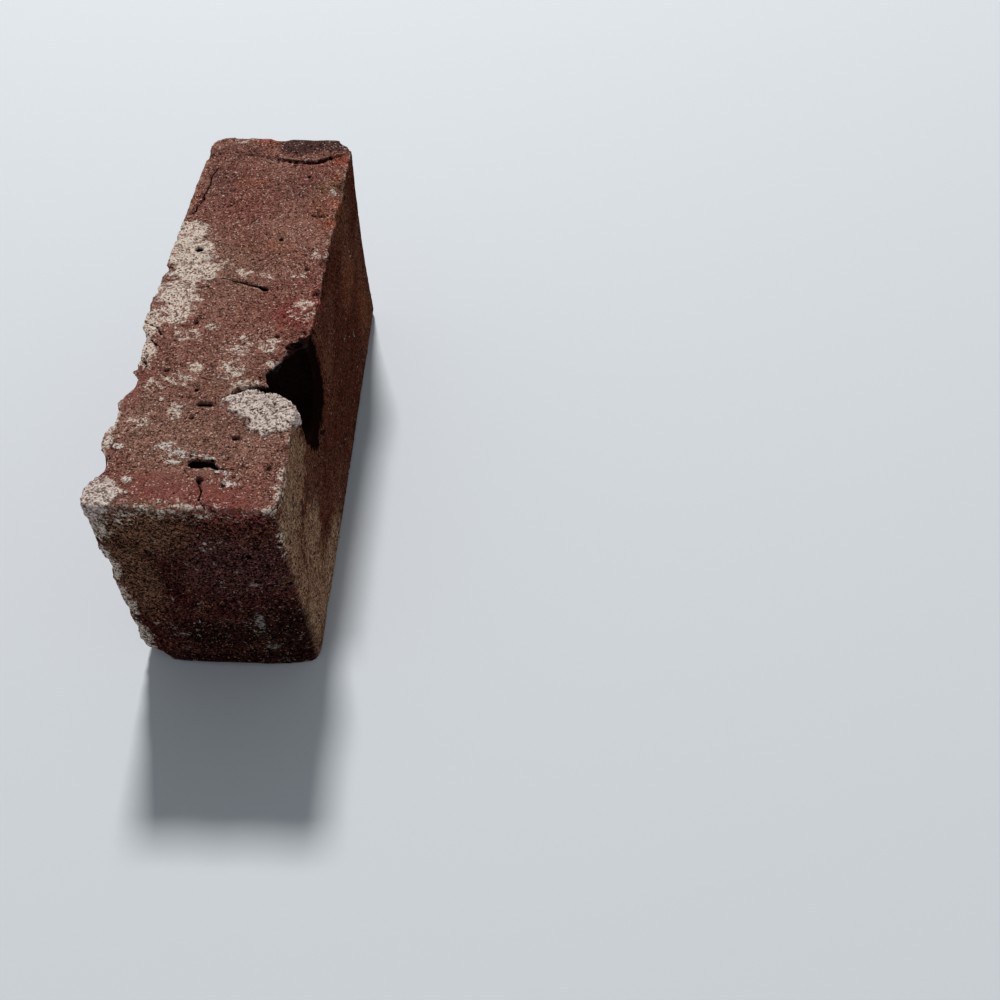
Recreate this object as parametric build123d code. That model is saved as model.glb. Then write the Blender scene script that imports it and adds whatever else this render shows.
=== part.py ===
"""A reclaimed clay brick, hand moulded and fired in one piece, standing on its long narrow face.

Millimetres. X runs across the brick from bed face to bed face, Y along it from the near header to the
far one, and Z up from the face that it stands on. The origin is under the middle of the brick.
"""

from build123d import *
from math import cos, radians, sin, tan
import os

# The true block that the mould gives
brick_length = 204.0
brick_thickness = 64.6
brick_height = 98.6

# How far each side stands out of the true block, at its two ends and its middle. The headers run from
# the left bed face to the right one, and the bed faces from the near header to the far one.
foot_bulge = {
    "near": (-0.5, 3.4, -0.6),
    "right": (0.7, 1.4, 1.9),
    "far": (0.0, 1.0, 0.0),
    "left": (4.8, 1.7, -0.8),
}
waist_bulge = {
    "near": (-0.5, 0.7, -0.4),
    "right": (-0.9, -0.8, -0.2),
    "far": (0.4, 0.0, -0.8),
    "left": (5.4, 2.1, -0.9),
}
top_bulge = {
    "near": (-1.0, -0.3, -0.8),
    "right": (-2.6, -2.8, -0.3),
    "far": (1.8, 0.9, 1.4),
    "left": (5.0, 1.8, -3.2),
}
top_sag = 0.9

# Wear along the arrises, as the length that each one has lost from both of its faces
near_left_wear = 4.0
near_right_wear = 5.0
far_right_wear = 6.4
far_left_wear = 7.4
top_left_wear = 2.6
top_right_wear = 2.0
foot_right_wear = 5.0
foot_left_wear = 7.0
top_near_wear = 2.2
top_far_wear = 3.0
foot_near_wear = 4.5
foot_far_wear = 5.0

# How much flatter than a full round a worn arris is: 0 is a full round and 1 a flat bevel
arris_flatness = 0.2

# The lap of clay folded over the top at the far end
lap_width = 16.0
lap_rise = 1.2
lap_inset = 1.4
fold_width = 1.1
fold_depth = 3.0

# The hollow broken out of the top right arris, and the split that runs across the top from it
hollow_from_near = 45.0
hollow_length = 34.0
hollow_reach = 16.7
hollow_depth = 27.0
split_width = 1.7
split_depth = 9.0

# The hollow's outline at four shares of its depth, from its near end to its far one. Each point is a
# share of the hollow's length and a share of its reach into the brick.
hollow_rings = (
    (0.0, ((0.0, 0.08), (0.2, 0.32), (0.28, 0.7), (0.44, 0.92), (0.59, 1.0), (0.79, 0.62), (0.97, 0.3))),
    (0.4, ((0.06, 0.06), (0.22, 0.34), (0.3, 0.8), (0.45, 1.0), (0.6, 0.97), (0.78, 0.72), (0.97, 0.4))),
    (0.74, ((0.1, 0.05), (0.24, 0.3), (0.34, 0.62), (0.48, 0.66), (0.62, 0.6), (0.76, 0.42), (0.94, 0.1))),
    (1.0, ((0.12, 0.04), (0.16, 0.12), (0.22, 0.17), (0.28, 0.18), (0.34, 0.16), (0.4, 0.12), (0.46, 0.04))),
)

# Blow holes in the top face, each with its place across the brick and from the near header, its
# length, width and depth, and how far it is turned from lying straight across
blow_holes = (
    (0.6, 21.0, 9.5, 3.4, 5.5, 3),
    (-3.5, 48.5, 6.2, 2.4, 3.0, 0),
    (-7.0, 42.0, 2.4, 1.8, 1.5, 0),
    (10.5, 33.0, 3.2, 2.0, 2.0, 22),
    (5.8, 26.0, 6.0, 1.0, 1.5, 3),
    (1.4, 14.0, 3.4, 2.2, 2.5, -27),
    (-22.0, 132.0, 4.0, 3.4, 3.0, 27),
    (8.4, 109.8, 3.0, 2.4, 2.0, 0),
    (-15.0, 90.5, 3.0, 2.2, 1.5, 73),
    (17.0, 84.0, 2.6, 1.6, 1.2, 0),
    (-21.0, 65.0, 2.6, 1.6, 1.2, 17),
    (24.3, 79.0, 6.5, 2.8, 2.0, 14),
    (23.0, 122.0, 2.4, 2.2, 1.4, 0),
    (8.0, 186.0, 3.6, 1.4, 1.5, 0),
    (24.3, 154.0, 4.2, 1.2, 1.5, 6),
    (-30.0, 70.0, 6.0, 1.6, 1.5, 81),
)

# Blow holes in the near header and the right bed face, each with its place and how far below the top it
# is, its length, width and depth, and how far it is turned up from lying level. Places are across the
# brick on the header, and from the near header on the bed face.
header_holes = ((27.3, 41.5, 6.0, 3.0, 4.0, 6),)
bed_holes = (
    (72.0, 42.0, 9.5, 3.0, 4.0, -42),
    (176.0, 54.0, 5.0, 3.0, 4.0, 17),
    (24.0, 6.0, 4.5, 1.8, 3.0, 68),
)

# Fire cracks and folds in the top face, each as its depth, its line from place to place across the
# brick and from the near header, and its width at each place
fire_cracks = (
    (5.0, ((-6, 19.6), (-2, 20.6), (4, 20.6), (7, 18.6), (15, 19.2)), (0.5, 1.2, 2.2, 1.0, 0.4)),
    (3.0, ((0.5, 14.5), (2.6, 9.5), (3.2, 5.6), (5.2, -1)), (1.2, 0.8, 0.7, 1.0)),
    (4.0, ((-3.6, 113.2), (3, 111.8), (9, 109.6)), (0.5, 1.0, 1.9)),
    (2.5, ((-24.1, 184), (-26.5, 163), (-28.9, 154), (-30.3, 146)), (0.6, 1.0, 0.9, 0.5)),
)

# Chips out of the top arrises, each with its place along the arris, its length and its depth. Places
# are from the near header, and across the brick on the near and far arrises. Those of the left arris lie
# lower on its bed face, by a share of their length.
right_chips = ((26, 12.0, 1.5), (107.5, 8.5, 2.6), (125, 7.0, 2.2), (152, 7.0, 1.0), (170, 11.0, 1.3))
left_chips = (
    (18.5, 14.0, 2.2),
    (41, 10.0, 0.5),
    (57.5, 17.0, 4.6),
    (74, 26.0, 2.0),
    (106, 6.0, 1.4),
    (119, 10.0, 2.6),
)
near_chips = ((-22, 6.0, 1.2), (6, 8.0, 1.5), (17, 5.5, 1.1))
far_chips = ((1, 10.0, 1.3),)
left_chip_drop = 0.25

# Chips out of the upright near left arris, each with its place below the top, its length and its depth
upright_chips = ((37, 20.0, 3.3), (66, 14.0, 2.2))

# The larger breaks out of the far right corner of the top and the near left corner of the foot
far_chip_length = 20.0
far_chip_depth = 6.5
foot_break_length = 16.0
foot_break_depth = 3.6

# The angles at which blow holes and chips narrow towards their floors, in degrees, how far their cutting
# shapes stand proud, and what share of their width is cut off at each corner
hole_taper_angle = 12.0
chip_taper_angle = 50.0
cut_lip = 4.0
cut_corner = 0.3

# How far the cutting shapes run on outside the brick
spare = 12.0

half_length = brick_length / 2
half_thickness = brick_thickness / 2


def from_near(distance):
    return -half_length + distance


def from_far(distance):
    return half_length - distance


def from_left(distance):
    return -half_thickness + distance


def from_right(distance):
    return half_thickness - distance


def from_top(distance):
    return brick_height - distance


def top_at(y):
    """The height of the sagging top face."""
    return brick_height - top_sag * (1 - (y / half_length) ** 2)


# The moulded block

def halfway(corners):
    """The middle of each side of an outline."""
    return [(corner + corners[(i + 1) % len(corners)]) / 2 for i, corner in enumerate(corners)]


def worn_outline(corners, middles, wears):
    """A closed outline through the middle of each side, with each corner worn round by its own length."""
    count = len(corners)
    starts, ends = [], []
    for i in range(count):
        after = (i + 1) % count
        starts.append(corners[i] + (middles[i] - corners[i]).normalized() * wears[i])
        ends.append(corners[after] + (middles[i] - corners[after]).normalized() * wears[after])
    edges = []
    for i in range(count):
        after = (i + 1) % count
        edges.append(Edge.make_spline([starts[i], middles[i], ends[i]]))
        bevel_middle = (ends[i] + starts[after]) / 2
        pull = corners[after] + (bevel_middle - corners[after]) * arris_flatness
        edges.append(Edge.make_bezier(ends[i], pull, starts[after]))
    return Wire(edges)


def plan_outline(height, bulge, inset=0):
    """The brick's outline at a height, seen from above, from its near left corner round to the left."""
    near, right, far, left = bulge["near"], bulge["right"], bulge["far"], bulge["left"]
    half_x, half_y = half_thickness - inset, half_length - inset
    corners = [
        Vector(-half_x - left[0], -half_y - near[0], height),
        Vector(half_x + right[0], -half_y - near[2], height),
        Vector(half_x + right[2], half_y + far[2], height),
        Vector(-half_x - left[2], half_y + far[0], height),
    ]
    middles = [
        Vector(0, -half_y - near[1], height),
        Vector(half_x + right[1], 0, height),
        Vector(0, half_y + far[1], height),
        Vector(-half_x - left[1], 0, height),
    ]
    return worn_outline(corners, middles, (near_left_wear, near_right_wear, far_right_wear, far_left_wear))


def moulded_block():
    """The block lofted from foot to top through its three outlines."""
    levels = ((0, foot_bulge), (brick_height / 2, waist_bulge), (brick_height, top_bulge))
    return Solid.make_loft([plan_outline(height, bulge) for height, bulge in levels])


def end_profile():
    """What wear leaves of the block, seen along its length: its long arrises are round."""
    corners = [
        Vector(-half_thickness - foot_bulge["left"][0], 0, 0),
        Vector(half_thickness + foot_bulge["right"][1], 0, 0),
        Vector(half_thickness + top_bulge["right"][2], 0, brick_height),
        Vector(-half_thickness - top_bulge["left"][0], 0, brick_height),
    ]
    wears = (foot_left_wear, foot_right_wear, top_right_wear, top_left_wear)
    outline = worn_outline(corners, halfway(corners), wears)
    return extrude(Face(outline), amount=half_length + 2 * spare, dir=(0, 1, 0), both=True)


def side_profile():
    """What wear leaves of the block, seen from a bed face: its cross arrises are round and its top sags."""
    corners = [
        Vector(0, -half_length - max(foot_bulge["near"]), 0),
        Vector(0, half_length + max(foot_bulge["far"]), 0),
        Vector(0, half_length + max(top_bulge["far"]), brick_height),
        Vector(0, -half_length - max(top_bulge["near"]), brick_height),
    ]
    foot, far, top, near = halfway(corners)
    sagging_top = top - Vector(0, 0, top_sag)
    wears = (foot_near_wear, foot_far_wear, top_far_wear, top_near_wear)
    outline = worn_outline(corners, (foot, far, sagging_top, near), wears)
    return extrude(Face(outline), amount=half_thickness + 2 * spare, dir=(1, 0, 0), both=True)


# The lap

def fold_line():
    """The line where the lap ends on the top face, from past the left arris to past the right one."""
    edge = from_far(lap_width)
    return [
        (from_left(-8), edge + 2.5),
        (from_left(6), edge + 3.0),
        (-10, edge + 3.6),
        (0, edge + 2.4),
        (10, edge + 0.5),
        (18, edge + 0.8),
        (from_right(8), edge + 4.0),
        (from_right(-8), edge + 5.6),
    ]


def lap(block):
    """The far end of the block again, a little narrower and higher, cut off at the fold."""
    line = Edge.make_spline([Vector(x, y, 0) for x, y in fold_line()])
    start, end = line @ 0, line @ 1
    past_end = half_length + spare
    rest = Polyline(end, (end.X, past_end), (start.X, past_end), start)
    beyond_fold = Face(Wire([line, *rest.edges()]))
    narrower_top = Face(plan_outline(0, top_bulge, lap_inset))
    patch = extrude(beyond_fold & narrower_top, amount=2 * spare)
    under_lap = from_top(2 * lap_rise + top_sag)
    return (Pos(0, 0, lap_rise) * block) & (Pos(0, 0, under_lap) * patch)


# What breaks the surface

def narrowing_cut(centre, length, width, depth, taper_angle, along, away):
    """A cut that is narrower at its flat floor, longest in one direction and open in another."""
    widening = 2 * cut_lip * tan(radians(taper_angle))
    blank = Rectangle(length + widening, width + widening)
    mouth = Pos(0, 0, cut_lip) * chamfer(blank.vertices(), cut_corner * (width + widening))
    cut = extrude(mouth, amount=cut_lip + depth, dir=(0, 0, -1), taper=taper_angle)
    return Plane(origin=centre, x_dir=along, z_dir=away).location * cut


def blow_hole(centre, length, width, depth, along, away):
    """A steep narrow hole into a face."""
    return narrowing_cut(centre, length, width, depth, hole_taper_angle, along, away)


def crack(line, widths, depth):
    """A narrow split down from the top face along a line, with a width at each of its points."""
    points = [Vector(x, y) for x, y in line]
    left, right = [], []
    for i, point in enumerate(points):
        before, after = points[max(i - 1, 0)], points[min(i + 1, len(points) - 1)]
        way = (after - before).normalized()
        across = Vector(-way.Y, way.X) * (widths[i] / 2)
        left.append(point + across)
        right.append(point - across)
    outline = Polyline(*left, *reversed(right), close=True)
    return Pos(0, 0, from_top(depth)) * extrude(make_face(outline), amount=depth + spare)


def chip(arris, length, depth, along, away):
    """A shallow flat break out of an arris, as wide as it is long."""
    return narrowing_cut(arris, length, length, depth, chip_taper_angle, along, away)


def broken_hollow():
    """The piece knocked out of the top right arris, as flat breaks from its mouth down to its floor."""
    outside = from_right(-spare)
    loops = []
    for depth_share, ring in ((-spare / hollow_depth, hollow_rings[0][1]), *hollow_rings):
        places = [from_near(hollow_from_near + hollow_length * along) for along, reach in ring]
        points = [(from_right(hollow_reach * reach), y) for y, (along, reach) in zip(places, ring)]
        corners = [(outside, places[0]), *points, (outside, places[-1])]
        height = from_top(hollow_depth * depth_share)
        loops.append(Wire.make_polygon([Vector(x, y, height) for x, y in corners]))
    return Solid.make_loft(loops, ruled=True)


def hollow_split():
    """The split that runs from the back of the hollow across the top."""
    start = hollow_from_near + 0.35 * hollow_length
    line = ((from_right(12), -0.7), (16, 0), (11, -0.2), (6.5, -1.8), (2, -5.4))
    widths = (1.4 * split_width, split_width, 0.9 * split_width, 0.8 * split_width, 0.3 * split_width)
    return crack([(x, from_near(start + along)) for x, along in line], widths, split_depth)


def top_breaks():
    """The hollow, split, blow holes, fire cracks and fold line in the top face."""
    fold_widths = (0.5, 0.7, 0.9, fold_width, fold_width, 1.4 * fold_width)
    breaks = [broken_hollow(), hollow_split(), crack(fold_line()[1:-1], fold_widths, fold_depth)]
    for depth, line, widths in fire_cracks:
        breaks.append(crack([(x, from_near(y)) for x, y in line], widths, depth))
    for x, distance, length, width, depth, turn in blow_holes:
        y = from_near(distance)
        along = (cos(radians(turn)), sin(radians(turn)), 0)
        breaks.append(blow_hole((x, y, top_at(y)), length, width, depth, along, (0, 0, 1)))
    return breaks


def arris_breaks():
    """Chips and spalls out of the arrises and corners."""
    left, right = from_left(-top_bulge["left"][1]), from_right(-top_bulge["right"][1])
    near, far = from_near(-top_bulge["near"][1]), from_far(-top_bulge["far"][1])
    top = from_top(top_sag)
    breaks = []
    for place, length, depth in right_chips:
        breaks.append(chip((right, from_near(place), top), length, depth, (0, 1, 0), (1, 0, 1)))
    for place, length, depth in left_chips:
        lower = top - left_chip_drop * length
        breaks.append(chip((left, from_near(place), lower), length, depth, (0, 1, 0), (-1, 0, 0)))
    for place, length, depth in near_chips:
        breaks.append(chip((place, near, top), length, depth, (1, 0, 0), (0, -1, 1)))
    for place, length, depth in far_chips:
        breaks.append(chip((place, far, from_top(0)), length, depth, (1, 0, 0), (0, 1, 1)))
    left_corner = from_left(-waist_bulge["left"][0])
    for drop, length, depth in upright_chips:
        place = (left_corner, from_near(0), from_top(drop))
        breaks.append(chip(place, length, depth, (0, 0, 1), (-1, -0.65, 0)))
    far_place = (from_right(0), from_far(-top_bulge["far"][2]), from_top(0))
    breaks.append(chip(far_place, far_chip_length, far_chip_depth, (1, -1, 0), (1, 1, 0.9)))
    foot_place = (from_left(0), from_near(1), 1)
    breaks.append(chip(foot_place, foot_break_length, foot_break_depth, (1, 0, 0), (-0.75, -1, -0.8)))
    return breaks


def face_breaks():
    """Blow holes in the near header and the right bed face."""
    breaks = []
    for x, drop, length, width, depth, turn in header_holes:
        along = (cos(radians(turn)), 0, sin(radians(turn)))
        breaks.append(blow_hole((x, from_near(0), from_top(drop)), length, width, depth, along, (0, -1, 0)))
    for distance, drop, length, width, depth, turn in bed_holes:
        along = (0, cos(radians(turn)), sin(radians(turn)))
        place = (from_right(0), from_near(distance), from_top(drop))
        breaks.append(blow_hole(place, length, width, depth, along, (1, 0, 0)))
    return breaks


block = moulded_block() & end_profile() & side_profile()
body = block + lap(block)
for breaks in (top_breaks(), arris_breaks(), face_breaks()):
    body = body - breaks
centre = body.bounding_box(optimal=True).center()
brick = Pos(-centre.X, -centre.Y, 0) * body

os.makedirs("parts", exist_ok=True)
export_step(brick, "parts/brick.step")
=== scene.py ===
"""A reclaimed clay brick standing on its long narrow face, in a plain studio.

The brick's solid from the frame gives its form. A fine copy of it gets the relief that weather, firing and
old mortar leave, and one fired clay material with its finishes and with painted shade on its shaded sides
and in its hollows. Metres, in the frame's own axes: X across the brick, Y along it from the near header, Z
up. Places and sizes in the tables are in millimetres.
"""

from math import cos, radians, sin, tau

import bmesh
import bpy
import numpy as np
from mathutils import Matrix, Vector


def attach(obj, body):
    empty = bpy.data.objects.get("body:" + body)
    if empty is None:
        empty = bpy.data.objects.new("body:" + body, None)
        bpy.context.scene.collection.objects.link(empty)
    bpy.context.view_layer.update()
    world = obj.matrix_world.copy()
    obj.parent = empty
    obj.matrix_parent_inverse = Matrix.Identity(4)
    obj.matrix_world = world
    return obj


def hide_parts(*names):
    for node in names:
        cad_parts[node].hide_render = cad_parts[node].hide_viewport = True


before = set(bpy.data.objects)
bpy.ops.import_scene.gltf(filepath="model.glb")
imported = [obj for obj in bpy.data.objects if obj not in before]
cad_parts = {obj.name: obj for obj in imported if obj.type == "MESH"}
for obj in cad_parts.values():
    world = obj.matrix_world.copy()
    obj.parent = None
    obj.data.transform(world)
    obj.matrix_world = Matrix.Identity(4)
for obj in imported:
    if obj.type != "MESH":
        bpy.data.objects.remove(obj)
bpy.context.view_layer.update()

mm = 0.001
to_millimetres = (1 / mm,) * 3

# The brick's fine mesh: how near two points are one, the size of its faces, the most triangles that it may
# have, and how far off its neighbours' middle a point may stand, as a share of their mean distance
seam = 0.002 * mm
mesh_step = 0.5 * mm
most_triangles = 185000
spike_share = 0.72

# Where each visible face lies: the two axes along it, the axis across it, and its level on that axis
face_axes = {
    "top": (0, 1, 2, 98.0),
    "header": (0, 2, 1, -103.0),
    "bed": (1, 2, 0, 32.0),
}

# How far a patch reaches off its face
patch_thickness = 9.0

# The heights between which the top face begins, and how far a point's normal has to turn up to be on it, or
# out to be on the near header, or on the left side or the far end
top_starts = (90.0, 95.0)
turned_up = (0.1, 0.6)
turned_out = (0.5, 0.8)

# Patches of each finish, as a centre and a reach along the face's two axes
finish_patches = {
    "film": {
        "top": (
            (-27, 41, 12, 10), (-24, 29, 13, 11), (-19, 18, 12, 9), (-24, 5, 12, 9), (-22, -6, 9, 8),
            (-31, -14, 6, 12), (-30, -28, 6, 10), (-33, -62, 3, 10), (-34, -80, 3, 10),
        ),
        "header": ((-34, 88, 7, 14), (-34, 64, 5, 16), (-34, 40, 5, 16), (-33, 16, 5, 14)),
    },
    "haze": {
        "top": (
            (-8, 22, 7, 4), (0, 17, 7, 4), (10, 16, 6, 3), (22, 18, 6, 4), (-15, -17, 8, 5),
            (-7, -14, 4, 3), (-13, -41, 10, 5), (-22, -44, 6, 4), (-9, -35, 5, 4), (6, -23, 6, 8),
            (4, -35, 8, 8), (16, -22, 7, 8), (20, -33, 7, 6), (12, -42, 9, 4), (-11, -56, 5, 6),
            (-24, -62, 7, 6), (-33, -78, 4, 12), (31, -88, 3, 14), (27, 30, 4, 5), (-14, 101, 10, 3),
            (0, -102, 34, 3), (29, -99, 4, 3), (27, -3, 8, 8),
        ),
        "header": (
            (-24, 92, 12, 7), (4, 78, 5, 4), (0, 98, 36, 4.5), (-18, 96, 14, 8), (-31, 10, 4, 12),
            (32, 78, 4, 16),
        ),
    },
    "buff": {
        "bed": (
            (-86, 22, 30, 36), (-97, 60, 14, 46), (-60, 8, 38, 20), (-74, 44, 22, 24), (-80, 82, 24, 24),
            (-66, 84, 16, 18),
        ),
    },
    "mortar": {
        "top": (
            (-30, -95, 8.5, 8.5), (-21.4, -88.7, 2.6, 2.0), (-24.7, -94, 4, 3), (-20, -94.2, 1.3, 0.9),
            (-27.8, -74, 2.6, 1.8), (-32, -72, 2, 4), (-33, -84, 1.8, 4),
        ),
        "header": ((-33, 93, 4.5, 8), (33, 76, 0.9, 12)),
    },
    "lime": {
        "top": (
            (-11, -54, 5, 4), (-11, -60, 3, 3), (5, -27, 8, 10), (6, -38, 9, 6), (15, -22, 7, 8),
            (-16, -18, 6, 5), (-7, -14, 4, 3), (-22, 28, 14, 22), (13, -88, 8, 5), (-10, -75, 9, 6),
        ),
        "header": ((15, 28, 6, 12), (18, 14, 5, 3), (9, 80, 4, 3), (-15, 21, 5, 3), (17, 55, 4, 3)),
    },
    "streak": {
        "top": (
            (-12, -73, 5, 2.4), (-7, -75.5, 4, 1.6), (-8, -80, 5, 1.3), (-4, -77.5, 3, 1),
            (1, -76.6, 5, 0.9), (5, -78, 3, 0.9), (9, -83.5, 3, 1), (12.5, -84.3, 3.4, 1.1),
            (13.5, -89, 4, 1.6), (7, -70.7, 1.5, 1.1), (-18, -51, 1.6, 1.8), (29, 69, 2.6, 2.2),
            (-14.5, 80, 1.6, 1.2), (-9, 80, 1.2, 1),
        ),
        "header": (
            (15.5, 31, 2.4, 9), (18, 14, 4, 2), (17, 55, 2.4, 1.6), (3, 76, 1.6, 2.6), (-15, 21, 3, 1.4),
        ),
    },
    "raw": {
        "top": ((-3, 100, 7, 4), (30, 89, 7, 5), (19, -99.3, 2.4, 1.6), (31, 62, 3, 6), (30, 49, 3, 7)),
    },
    "tint": {
        "top": (
            (28, 56, 9, 17), (-6, 74, 9, 4), (11, 34, 7, 5), (0, 32, 5, 4), (-30, 68, 6, 20),
            (30, 78, 4, 8),
        ),
        "bed": ((55, 60, 24, 16), (75, 30, 18, 20)),
    },
    "rose": {
        "top": ((-9, -91, 20, 8), (9, -94, 16, 8), (16, -99, 16, 4), (-30, -50, 6, 8)),
    },
    "crimson": {
        "top": ((24, -5, 13, 11), (31, 6, 5, 11)),
    },
    "umber": {
        "top": ((27, 71, 8, 7),),
        "header": ((-18, 86, 22, 20), (-26, 58, 12, 32)),
    },
    "kiln": {
        "top": ((13, 98, 13, 8), (26, 99, 8, 6)),
    },
    "plum": {
        "top": ((-18, 74, 10, 12), (15, 71, 13, 11), (-12, 96, 12, 6)),
        "header": ((12, 66, 26, 26),),
    },
    "tan": {
        "top": ((-4, -60, 38, 36), (-12, 20, 28, 20)),
    },
    "soot": {
        "header": ((26, 23, 22, 25), (0, 22, 26, 12), (20, 6, 20, 9), (0, 4, 36, 8)),
    },
    # A painted shadow: the black strip down the bed face below the hollow
    "painted_shadow": {
        "bed": ((-30, 86, 17, 25), (-39, 73, 9, 13), (-22, 76, 9, 13), (-45, 88, 5, 14)),
    },
    "settled": {
        "top": ((-20, 91.5, 16, 5), (-6, 90.5, 12, 5), (4.2, -94.5, 3.6, 6)),
    },
    "rough": {
        "top": ((24, -6, 10, 9), (30, 89, 7, 6), (27, -38, 20, 20), (-35, -20, 5, 90), (33, 10, 4, 45)),
        "header": ((-35, 50, 5, 52), (0, 99, 36, 3)),
    },
}

# The mortar crust left beside the hollow: its corners on the top face, and how wide the edge that starts
# at each one thins out
crust_corners = (
    (3, -50.9, 4), (7, -55.5, 6), (12, -60.8, 7), (17, -65.5, 7), (22, -67.5, 8), (30, -65, 5),
    (34.5, -60, 2), (34.5, -53, 1), (29.2, -47.6, 1), (24, -45.6, 1), (14, -45.2, 1), (7.2, -47.6, 1),
)

# The broken-out hollow, painted dark as shade inside: its reach across the brick and along it, and the
# level it starts from
hollow_across = (12.0, 30.6)
hollow_along = (-58.0, -21.0)
hollow_below = 97.6

# Depth under the brick's tight skin counts for more near the top face, up to where its arrises start
deep_starts = (90.0, 94.0)
arris_starts = 29.0
deeper_on_top = 0.5

# The even surface that fits the top face: half its width and length, the level that its points lie above,
# how many powers it takes across and along, how often it is fitted, and how far off it a point still counts
even_face = (30.0, 88.0)
even_level = 88.0
even_powers = (4, 6)
even_rounds = 4
even_slack = 0.8

# Holes are marked under that surface, to this depth and above this level. Towards the arrises they fade out
# between these places, across the brick and along it.
deepest_hole = 3.0
lowest_hole = 60.0
fade_across = (26.1, 29.1)
fade_along = (82.0, 86.0)

# Hairline cracks in the top face: the level that they lie above, and the depth, width and places of each
hairline_level = 92.0
hairlines = (
    (1.3, 0.6, (
        (-22, 82.8), (-23.9, 77), (-23.4, 72), (-24.8, 65), (-24.2, 62), (-26.4, 58), (-26.2, 54))),
    (1.4, 0.8, ((22.6, 53.6), (25.6, 53.0), (28.4, 54.4))),
    (1.8, 0.9, ((-2.6, 12.8), (1.5, 12), (6, 10.4))),
    (1.0, 0.5, ((-2.4, 12.9), (-8, 14.4))),
    (1.2, 0.7, ((-32, -12), (-27.5, -14), (-25, -18))),
    (1.2, 0.7, ((-33, -22), (-28, -21), (-25.5, -23.5))),
    (1.2, 0.7, ((-33, -31), (-28, -31.5), (-27, -35))),
    (1.0, 0.6, ((3, -89), (4.8, -92.3), (4.6, -96), (7, -99))),
    (0.8, 0.5, ((-30, 9), (-20, 8), (-12, 9.5))),
    (0.6, 0.5, ((-28, 90.7), (-22, 91.4), (-15, 92.4), (-9, 91), (-4, 90.6), (1, 88.7))),
    (5.0, 1.5, ((8, -46.6), (10, -45.3), (14, -44.4), (18, -44.8), (21, -45.4))),
    (1.1, 0.5, ((14, -47.6), (19, -46.8), (24.5, -48.6))),
)

# Relief that a finish leaves: how full and how ragged it is inside its patches, and its ragged edge's size
relief_edges = {
    "mortar": (1.0, 2.2, 3.0),
    "crust": (0.7, 5.5, 3.6),
    "film": (0.5, 4.6, 3.4),
    "rough": (1.0, 1.5, 4.0),
}
relief_softness = 0.15

# How near a patch's middle its finish starts to come in and is full, and the same for a settled crack
patch_rim = (-0.35, 0.65)
settled_rim = (0.1, 0.5)

# Round pits: the widest one's radius as a share of their spacing, and how much of a pit's width is its
# floor. Finer pits lie among them, with these shares of their spacing and depth.
widest_pit = 0.24
pit_floor = 0.5
fine_pit_spacing = 0.42
fine_pit_depth = 0.5

# How far lumps lessen and raise the mortar's height, and between which heights the relief comes in above
# the base
lump_heights = (0.2, 1.5)
calm_base = (0.2, 3.0)

# Noise of each kind of mark: its detail, its roughness, and the levels between which the mark comes in
noise_middle = 0.5
noise_kinds = {
    "lost skin": (5.0, 0.6, 0.58, 0.61),
    "lumps": (3.0, 0.7, 0.3, 0.7),
    "blots": (4.0, 0.6, 0.38, 0.64),
    "mottle": (4.0, 0.7, 0.42, 0.66),
    "drags": (4.0, 0.6, 0.52, 0.64),
    "rubbed": (5.0, 0.7, 0.46, 0.58),
    "specks": (3.0, 0.65, 0.66, 0.69),
}

# Colour of a finish: how full and how ragged it is inside its patches, the size and the softness of its
# ragged edge, and how much of the clay it covers
finish_edges = {
    "buff": (0.35, 2.8, 4.0, 0.4, 0.9),
    "soot": (0.5, 2.4, 6.0, 0.8, 0.85),
    "plum": (0.4, 1.8, 8.0, 1.0, 0.45),
    "rose": (0.7, 1.4, 8.0, 0.8, 0.7),
    "tint": (0.2, 2.4, 4.0, 0.8, 0.55),
    "tan": (0.5, 2.4, 9.0, 0.9, 0.5),
    "crimson": (0.2, 5.0, 1.8, 0.5, 0.55),
    "raw": (0.4, 3.0, 4.0, 0.7, 0.55),
    "umber": (0.5, 2.0, 5.0, 0.7, 0.62),
    "kiln": (0.9, 1.6, 5.0, 0.4, 0.85),
    "haze": (-0.1, 4.4, 2.4, 0.15, 0.9),
    "film": (0.5, 4.6, 3.4, 0.35, 1.0),
    "mortar": (0.6, 3.4, 2.4, 0.3, 1.0),
    "crust": (0.7, 5.5, 3.6, 0.35, 1.0),
    "lime": (-0.4, 4.8, 1.4, 0.12, 0.95),
    "streak": (0.1, 4.6, 1.2, 0.12, 0.95),
    # The painted shadow strip on the bed face below the hollow
    "painted_shadow": (3.0, 6.0, 4.0, 0.4, 1.0),
}

# Finishes that were brushed on level, across the brick, and how far their edges are drawn out
level_finishes = ("haze", "lime", "streak")
level_stretch = (0.75, 1.0, 1.0)

# Sand grain: how far fine grains, coarse grains and unevenness swing its shade, the sizes of the last two
# beside the fine, the darkest shade, the levels between which a grain is a pale fleck, and how domed it is
grain_swings = (1.8, 0.4, 1.2)
coarse_grain = 2.2
uneven_grain = 2.5
darkest_grain = 0.12
fleck_levels = (0.955, 0.98)
grain_dome = 0.6

# Sand grain on the top, the header and the bed face: its size, its contrast and how far pale flecks cover.
# Its contrast changes by so much under the rose tint, and on the left side and the far end.
grain_sizes = (0.45, 0.5, 0.55)
grain_contrasts = (0.95, 2.2, 1.2)
fleck_covers = (0.55, 0.9, 0.45)
rose_contrast = -0.6
hidden_contrast = -0.4

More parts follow.
